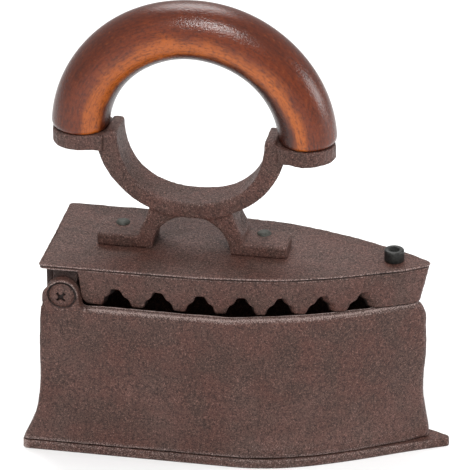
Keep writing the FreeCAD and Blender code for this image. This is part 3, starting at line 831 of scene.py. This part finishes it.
def cross_head():
    """Truss head with a cross recess, drawn along +Z with its seat at 0: a dome whose height
    drops by the recess where the cross lies."""
    r = np.concatenate([np.linspace(0, 5.2, 52), [5.35, HEAD_R, HEAD_R, 5.2]])[:, None]
    dome = head_dome(r)
    dome[-2:, 0] = 0.12, 0.0
    a = full_turn(144)
    x, y = np.abs(r * np.cos(a - math.pi / 4)), np.abs(r * np.sin(a - math.pi / 4))
    arms = [(1 - smooth_step(across, 0.35, 0.62)) * (1 - smooth_step(along, 2.2, 2.6))
            for across, along in ((y, x), (x, y))]
    sink = np.max([*arms, 1 - smooth_step(np.hypot(x, y), 0.8, 1.3)], axis=0)
    return solid(rings(r, dome - 1.4 * sink, a))


def on_hinge_line(part, side, seat):
    """Lays a solid drawn along +Z on the hinge line, facing outwards on one side."""
    points, faces = part
    x, y, z = points.T
    return np.stack([HINGE_X + x * side, side * (z + seat), HINGE_Z - y], 1), faces


def hinge_screw_mesh(side):
    seat = EAR_OUTER_Y - 0.95
    shank = turned([(2.5, 0.2), (2.5, 17.3 - seat), (2.1, 17.6 - seat)], 32)
    parts = [on_hinge_line(p, side, seat) for p in (cross_head(), shank)]
    mesh = make_mesh("hinge_screw", parts)
    points = read_points(mesh)
    r = np.hypot(points[:, 0] - HINGE_X, points[:, 2] - HINGE_Z)
    depth = seat + head_dome(r) - np.abs(points[:, 1])
    # Painted shade in the cross recess: it pushes the edge value down, so the coating paints it
    # dark.
    recess = smooth_step(depth, 0.15, 0.8) * (r < 3)
    set_number(mesh, "edge", np.clip(wear_and_shade_relief(mesh) * 0.6 - 1.4 * recess, -1, 1))
    return mesh


def socket_head():
    """Cap screw head: knurled side, small chamfer, flat top and a six-sided socket. Rings run
    from the seat up the side, over the top and down the socket; the socket's rings change
    from a circle to a hexagon."""
    a = full_turn(180)
    hexagon = 2.0 / np.cos((a + math.pi / 6) % (math.pi / 3) - math.pi / 6)
    knurl = 4.25 - 0.09 * (0.5 + 0.5 * np.cos(45 * a))
    radius_and_drop = [(4.0, 5.2), (4.2, 5.05), (4.2, 4.7), (knurl, 4.55), (knurl, 1.0),
                       (4.22, 0.75), (4.18, 0.4), (3.95, 0.12), (3.7, 0), (2.75, 0),
                       (2.45, 0.08), (hexagon, 0.35), (hexagon, 2.2), (hexagon * 0.5, 2.7)]
    return solid(np.array([rings(r, NOSE_HIGH[2] - drop, a) for r, drop in radius_and_drop]))


def nose_screw_mesh():
    shank = turned([(2.5, NOSE_HIGH[2] - 5.0), (2.5, 64.2), (1.6, 64.1), (1.6, NOSE_LOW[2])], 36)
    parts = [socket_head(), shank]
    for points, _ in parts:
        points[:, 0] += LATCH_X
    return make_mesh("nose_cap_screw", parts)


def rivet_mesh(node):
    """A hammered rivet: two domes on a shank, each dome dented by soft noise."""
    low, high = span(node)
    t = np.linspace(0, math.pi / 2, 14)
    rise = 1.6 * (1 - np.cos(t))
    upper = list(zip(0.05 + 3.05 * np.sin(t), high[2] - rise))
    lower = list(zip(0.05 + 3.25 * np.sin(t), low[2] + rise))
    shank = [(2.0, high[2] - 1.65), (2.0, low[2] + 1.65)]
    points, faces = turned(upper + shank + lower[::-1], 48)
    points[:, :2] += (low[:2] + high[:2]) / 2
    mesh = make_mesh(node, [(points, faces)])
    points = read_points(mesh)
    dent = 0.16 * value_noise(points, 1.7, 5)
    write_points(mesh, points + read_vectors(mesh, "normal") * dent[:, None])
    return mesh


# --- shader helpers ---
class Value:
    """A node's output socket. Arithmetic on it adds Math nodes to the same tree."""

    def __init__(self, tree, socket):
        self.tree, self.socket = tree, socket

    def math(self, operation, *others):
        inputs = dict(enumerate((self,) + others))
        return self.tree.node("ShaderNodeMath", {"operation": operation}, inputs)

    def __add__(self, other):
        return self.math("ADD", other)

    def __mul__(self, other):
        return self.math("MULTIPLY", other)

    def __sub__(self, other):
        return self.math("SUBTRACT", other)

    def __rsub__(self, other):
        return self.tree.node("ShaderNodeMath", {"operation": "SUBTRACT"}, {0: other, 1: self})

    def __truediv__(self, other):
        return self.math("DIVIDE", other)

    __radd__ = __add__
    __rmul__ = __mul__

    def step(self, low, high):
        """0 at low, 1 at high and a soft S between; low may be the larger."""
        return self.tree.node("ShaderNodeMapRange", {"interpolation_type": "SMOOTHSTEP"},
                              {"Value": self, "From Min": low, "From Max": high})


class Finish:
    """A material under construction, with one Principled shader."""

    def __init__(self, name):
        self.material = bpy.data.materials.new(name)
        self.material.use_nodes = True
        self.nodes = self.material.node_tree.nodes
        self.links = self.material.node_tree.links
        self.shader = self.nodes["Principled BSDF"]

    def node(self, kind, settings=None, inputs=None, output=0):
        """Adds a node: its settings first, then the values or links of its inputs."""
        made = self.nodes.new(kind)
        for key, value in (settings or {}).items():
            setattr(made, key, value)
        for key, value in (inputs or {}).items():
            self.feed(made.inputs[key], value)
        return Value(self, made.outputs[output])

    def feed(self, socket, value):
        if isinstance(value, Value):
            self.links.new(value.socket, socket)
        else:
            socket.default_value = value

    def set(self, **inputs):
        for key, value in inputs.items():
            self.feed(self.shader.inputs[key.replace("_", " ")], value)

    def place(self):
        return self.node("ShaderNodeTexCoord", output=3)

    def attribute(self, name, output=2):
        return self.node("ShaderNodeAttribute", {"attribute_name": name}, output=output)

    def stretch(self, vector, scale):
        return self.node("ShaderNodeMapping", {}, {"Vector": vector, "Scale": scale})

    def noise(self, vector, size, detail=3.0, roughness=0.55):
        """Soft noise with lumps of about a size in millimetres."""
        return self.node("ShaderNodeTexNoise", {}, {"Vector": vector, "Scale": 1 / (size * MM),
                                                    "Detail": detail, "Roughness": roughness})

    def mix(self, factor, first, second):
        return self.node("ShaderNodeMix", {"data_type": "RGBA"}, {0: factor, 6: first, 7: second},
                         output=2)

    def paint(self, colour, *coats):
        """Mixes further colours over one; each coat is (mask, strength, red, green, blue)."""
        for mask, strength, *tint in coats:
            colour = self.mix(mask * strength, colour, rgb(*tint))
        return colour

    def bump(self, height, strength, distance):
        return self.node("ShaderNodeBump", {}, {"Height": height, "Strength": strength,
                                                "Distance": distance * MM})


def rgb(red, green, blue):
    """Screen colour from 0 to 255 as linear light."""
    c = np.array([red, green, blue]) / 255
    linear = np.where(c <= 0.04045, c / 12.92, ((c + 0.055) / 1.055) ** 2.4)
    return (*[float(v) for v in linear], 1.0)


def coated_iron(name, settings, has_edges=True):
    """Brown coating over sand-cast iron: red-brown and grey-brown patches, dark pits, pale
    grains, faint upright streaks, pale wear on edges (on the base rim partly a painted highlight)
    and painted shade in hollows."""
    f = Finish(name)
    where = f.place()
    patch = f.noise(where, 12, 3, 0.6).step(0.36, 0.64)
    fine = f.noise(where, 1.0, 2, 0.75)
    finer = f.noise(where, 0.42, 1, 0.7)
    streak = f.noise(f.stretch(where, (1.0, 1.0, 0.22)), 1.6, 2)
    broad = f.noise(where, 40, 2)
    colour = f.mix(patch, (*settings.red, 1), (*settings.grey, 1))
    pits = (fine * 0.5 + finer * 0.5).step(0.51, 0.38)
    grains = (fine * 0.4 + finer * 0.6).step(0.54, 0.66)
    colour = f.paint(colour, (broad.step(0.35, 0.7), 0.25, 104, 82, 76),
                     (streak.step(0.50, 0.70), 0.38, 54, 34, 28),
                     (pits, settings.speckle, 30, 19, 16), (grains, 0.50, 150, 110, 98))
    if has_edges:
        edge = f.attribute("edge")
        # Above 0 the edge attribute paints pale wear, on the base rim partly a painted highlight.
        wear_and_painted_light = (edge + (finer - 0.5) * 2.6).step(0.45, 1.1)
        colour = f.paint(colour, (wear_and_painted_light, 0.65, 172, 152, 146),
                         # Painted shade: dark where edge is below 0, in hollows, screw seats,
                         # recesses, vent sides and gaps.
                         (edge.step(-0.12, -0.7), 0.85, 20, 13, 11))
    rough = 0.48 + patch * 0.08 + pits * 0.26 - grains * 0.14
    height = fine * 0.55 + finer * 0.45
    f.set(Base_Color=colour, Roughness=rough, Normal=f.bump(height, 1.0, 0.62),
          Specular_IOR_Level=0.35)
    return f.material


def varnished_wood(settings):
    """Stained wood under gloss varnish: a bright band along the inner third of the section and dark
    red-brown outside it, partly stain and partly painted light and shade; painted shade in the
    inner bend; noise breaks them up."""
    f = Finish("varnished_wood")
    straight = f.attribute("fibre", output=1)
    along, radial = [f.node("ShaderNodeSeparateXYZ", {}, {0: straight}, output=k) / (size * MM)
                     for k, size in ((0, GRIP_LENGTH), (2, GRIP_R))]

    def grain(share, size, roughness):
        """Noise drawn out along the grip; share is its size across over its size along."""
        return f.noise(f.stretch(straight, (share, 1.0, 1.0)), size, 3, roughness)

    bands, fibres, mottle = grain(0.18, 5, 0.55), grain(0.10, 0.8, 0.65), grain(0.6, 1.1, 0.7)
    cloud = f.noise(straight, 18, 3)
    # Painted light and shade across the grip: the bright band and dark outside follow the place
    # across the section, shifted along the grip.
    slant = radial + along * 0.58
    out = slant + (bands - 0.5) * 0.8 + (cloud - 0.5) * 0.9
    body = out.step(1.35, 0.45)
    lit_stain_band = out.step(0.55, 0.05) * out.step(-0.45, -0.1)
    colour = f.mix(body, (*settings.dark, 1), (*settings.middle, 1))
    colour = f.mix(lit_stain_band, colour, (*settings.bright, 1))
    # Painted shade: dark line along the inner bend of the grip.
    inner = (slant + (bands - 0.5) * 0.3).step(-0.14, -0.48)
    colour = f.paint(colour, (inner, 0.9, 36, 15, 12), (fibres.step(0.50, 0.32), 0.45, 52, 19, 9),
                     (mottle.step(0.52, 0.34), 0.50, 48, 19, 9),
                     (mottle.step(0.56, 0.74), 0.12, 186, 106, 48))
    rough = 0.17 + mottle * 0.14
    peel = f.noise(straight, 0.75, 2, 0.7) * 0.6 + mottle * 0.4
    f.set(Base_Color=colour, Roughness=rough, Normal=f.bump(peel, 0.62, 0.36),
          Specular_IOR_Level=0.42)
    return f.material


def plain_metal(name, dark, light, metallic, roughness, size=0.8):
    """Small hardware: two mixed tones with fine scuffs."""
    f = Finish(name)
    where = f.place()
    scuff = f.noise(where, size, 3, 0.65)
    tone = f.noise(where, size * 6, 2)
    colour = f.mix(scuff.step(0.40, 0.66) * 0.6 + tone * 0.3, dark, light)
    f.set(Base_Color=colour, Roughness=roughness + (scuff - 0.5) * 0.3,
          Normal=f.bump(scuff, 0.35, 0.08), Metallic=metallic)
    return f.material


# --- settings ---
class CoatingSettings(bpy.types.PropertyGroup):
    red: FloatVectorProperty(name="Red-brown", description="Warm patches of the coating",
                             subtype="COLOR", size=3, default=rgb(78, 46, 38)[:3])
    grey: FloatVectorProperty(name="Grey-brown", description="Cool patches of the coating",
                              subtype="COLOR", size=3, default=rgb(67, 45, 38)[:3])
    speckle: FloatProperty(name="Speckle", description="Strength of the dark pits",
                           min=0, max=1, default=0.75)
    lump: FloatProperty(name="Lumps", description="Height of the sand-cast lumps",
                        subtype="DISTANCE", unit="LENGTH", default=0.16 * MM)
    grain: FloatProperty(name="Grain", description="Height of the sand grain",
                         subtype="DISTANCE", unit="LENGTH", default=0.10 * MM)


class WoodSettings(bpy.types.PropertyGroup):
    # The bright and dark stains also hold painted light and shade across the grip.
    bright: FloatVectorProperty(name="Bright stain", description="Stain on the inner face band",
                                subtype="COLOR", size=3, default=rgb(164, 82, 22)[:3])
    middle: FloatVectorProperty(name="Middle stain", description="Stain on most of the grip",
                                subtype="COLOR", size=3, default=rgb(102, 40, 10)[:3])
    dark: FloatVectorProperty(name="Dark stain", description="Stain round the outside of the grip",
                              subtype="COLOR", size=3, default=rgb(74, 28, 11)[:3])


class StudioSettings(bpy.types.PropertyGroup):
    azimuth: FloatProperty(name="Azimuth", description="Turn of the camera round the iron",
                           subtype="ANGLE", unit="ROTATION", default=math.radians(10.19))
    elevation: FloatProperty(name="Elevation", description="Height angle of the camera",
                             subtype="ANGLE", unit="ROTATION", default=math.radians(26.75))
    distance: FloatProperty(name="Distance", description="Camera to aim point",
                            subtype="DISTANCE", unit="LENGTH", default=1.2)
    lens: FloatProperty(name="Lens", description="Focal length on a 36 mm sensor",
                        subtype="DISTANCE_CAMERA", unit="CAMERA", default=214.03)


# --- operators ---
def coating(context):
    """The coat that the castings share, made when first asked for."""
    made = bpy.data.materials.get("coated_iron")
    return made or coated_iron("coated_iron", context.scene.iron_coating)


def add_casting(context, name, mesh, body, node, seed, wear_and_light_marks=all_edges):
    coat = context.scene.iron_coating
    cast_skin(mesh, coat.lump / MM, coat.grain / MM, seed, wear_and_light_marks)
    place(name, mesh, coating(context), body, [node])


class IRON_OT_sole(bpy.types.Operator):
    """Make the sole plate"""
    bl_idname = "iron.sole"
    bl_label = "Sole Plate"

    def execute(self, context):
        add_casting(context, "sole", sole_mesh(), "base", "sole_plate", 11)
        return {"FINISHED"}


class IRON_OT_base(bpy.types.Operator):
    """Make the open base casting with its ears"""
    bl_idname = "iron.base"
    bl_label = "Base Casting"

    def execute(self, context):
        add_casting(context, "base_body", base_mesh(), "base", "base_casting", 21, base_wear_and_painted_light)
        return {"FINISHED"}


class IRON_OT_lid(bpy.types.Operator):
    """Make the lid with its scalloped skirt"""
    bl_idname = "iron.lid"
    bl_label = "Lid"

    def execute(self, context):
        add_casting(context, "lid_shell", lid_mesh(), "lid", "lid_casting", 31, lid_wear_and_shade)
        return {"FINISHED"}


class IRON_OT_bracket(bpy.types.Operator):
    """Make the handle bracket"""
    bl_idname = "iron.bracket"
    bl_label = "Handle Bracket"

    def execute(self, context):
        add_casting(context, "bracket", bracket_mesh(), "lid", "handle_bracket", 41)
        return {"FINISHED"}


class IRON_OT_grip(bpy.types.Operator):
    """Make the wooden grip"""
    bl_idname = "iron.grip"
    bl_label = "Wooden Grip"

    def execute(self, context):
        wood = varnished_wood(context.scene.iron_wood)
        place("grip", grip_mesh(), wood, "lid", ["wood_grip"])
        return {"FINISHED"}


class IRON_OT_screws(bpy.types.Operator):
    """Make the hinge screws, the nose screw and the rivets"""
    bl_idname = "iron.screws"
    bl_label = "Screws and Rivets"

    def execute(self, context):
        coat = coating(context)
        for side, node in ((-1, "hinge_screw_right"), (1, "hinge_screw_left")):
            place(node + "_head", hinge_screw_mesh(side), coat, "base", [node])
        black = plain_metal("blackened_steel", rgb(30, 30, 28), rgb(62, 61, 59), 0.6, 0.42)
        place("nose_cap_screw", nose_screw_mesh(), black, "latch", ["nose_screw"])
        green = plain_metal("rivet_iron", rgb(38, 38, 33), rgb(76, 76, 69), 0.3, 0.6)
        for node in ("handle_rivet_rear", "handle_rivet_front"):
            place(node + "_head", rivet_mesh(node), green, "lid", [node])
        return {"FINISHED"}


class IRON_OT_hardware(bpy.types.Operator):
    """Finish the nuts, washers, grate and other hidden hardware"""
    bl_idname = "iron.hardware"
    bl_label = "Hidden Hardware"

    def execute(self, context):
        zinc = plain_metal("dull_zinc", rgb(105, 104, 100), rgb(160, 160, 156), 0.9, 0.45)
        sooty = plain_metal("sooty_iron", rgb(26, 22, 20), rgb(62, 54, 50), 0.1, 0.85, 2.0)
        black = bpy.data.materials["blackened_steel"]
        brown = coated_iron("coated_hardware", context.scene.iron_coating, has_edges=False)
        finishes = {"zinc_steel": zinc, "grate_iron": sooty, "black_steel": black,
                    "painted_screw": brown, "rivet_iron": bpy.data.materials["rivet_iron"]}
        slots = {s["node"]: s["material_slot"] for s in frame["record"]["subparts"]}
        for name, node in frame["nodes"].items():
            if not node.hide_render:
                node.data.materials.clear()
                node.data.materials.append(finishes[slots[name]])
        return {"FINISHED"}


# Soft lights round the iron: name, place (m), width of the square (m), power (W).
LIGHTS = (
    ("top", (0.04, -0.71, 1.02), 0.28, 8.5),
    ("back", (-0.19, 0.62, 1.05), 0.60, 8.0),
    ("side", (1.22, 0.14, 0.38), 0.40, 6.0),
    ("front", (-0.45, -1.25, 0.60), 1.20, 1.5),
)
LIGHT_AIM = Vector((0, 0, 0.08))
CAMERA_AIM = Vector((-0.00355, 0, 0.09465))


def look_along(thing, way):
    thing.rotation_euler = way.to_track_quat("-Z", "Y").to_euler()


class IRON_OT_studio(bpy.types.Operator):
    """Make the floor, the soft light and the camera"""
    bl_idname = "iron.studio"
    bl_label = "Studio"

    def execute(self, context):
        scene = context.scene
        settings = scene.iron_studio
        scene.view_settings.view_transform = "Standard"
        floor_mesh = bpy.data.meshes.new("floor")
        half = 6.0
        corners = [(x * half, y * half, 0) for x, y in ((-1, -1), (1, -1), (1, 1), (-1, 1))]
        floor_mesh.from_pydata(corners, [], [(0, 1, 2, 3)])
        floor = linked("floor", floor_mesh)
        pale = Finish("pale_floor")
        pale.set(Base_Color=(0.95, 0.95, 0.95, 1), Roughness=0.9)
        floor_mesh.materials.append(pale.material)
        world = bpy.data.worlds.new("studio")
        scene.world = world
        world.use_nodes = True
        sky = world.node_tree.nodes["Background"].inputs
        sky["Color"].default_value = (1, 1, 1, 1)
        sky["Strength"].default_value = 0.62
        for name, spot, size, power in LIGHTS:
            lamp = bpy.data.lights.new(name, "AREA")
            lamp.size, lamp.energy = size, power
            light = linked(name, lamp)
            light.location = spot
            look_along(light, LIGHT_AIM - light.location)
        az, el = settings.azimuth, settings.elevation
        back = Vector((math.sin(az) * math.cos(el), -math.cos(az) * math.cos(el), math.sin(el)))
        camera_data = bpy.data.cameras.new("camera")
        camera_data.lens, camera_data.sensor_width = settings.lens, 36
        camera = linked("camera", camera_data)
        camera.location = CAMERA_AIM + back * settings.distance
        look_along(camera, -back)
        scene.camera = camera
        return {"FINISHED"}


class IRON_PT_panel(bpy.types.Panel):
    """Buttons for each group of pieces"""
    bl_idname = "IRON_PT_panel"
    bl_label = "Charcoal Iron"
    bl_space_type = "VIEW_3D"
    bl_region_type = "UI"
    bl_category = "Iron"

    def draw(self, context):
        for operator in OPERATORS:
            self.layout.operator(operator.bl_idname)
        for group in (context.scene.iron_coating, context.scene.iron_wood,
                      context.scene.iron_studio):
            box = self.layout.box()
            for key in group.__annotations__:
                box.prop(group, key)


SETTINGS = {"iron_coating": CoatingSettings, "iron_wood": WoodSettings,
            "iron_studio": StudioSettings}
OPERATORS = (IRON_OT_sole, IRON_OT_base, IRON_OT_lid, IRON_OT_bracket, IRON_OT_grip,
             IRON_OT_screws, IRON_OT_hardware, IRON_OT_studio)
CLASSES = tuple(SETTINGS.values()) + OPERATORS + (IRON_PT_panel,)


def register():
    for cls in CLASSES:
        bpy.utils.register_class(cls)
    for name, group in SETTINGS.items():
        setattr(bpy.types.Scene, name, PointerProperty(type=group))


def unregister():
    for name in SETTINGS:
        delattr(bpy.types.Scene, name)
    for cls in reversed(CLASSES):
        bpy.utils.unregister_class(cls)


def main():
    register()
    for operator in OPERATORS:
        group, name = operator.bl_idname.split(".")
        getattr(getattr(bpy.ops, group), name)()


if __name__ == "__main__":
    main()
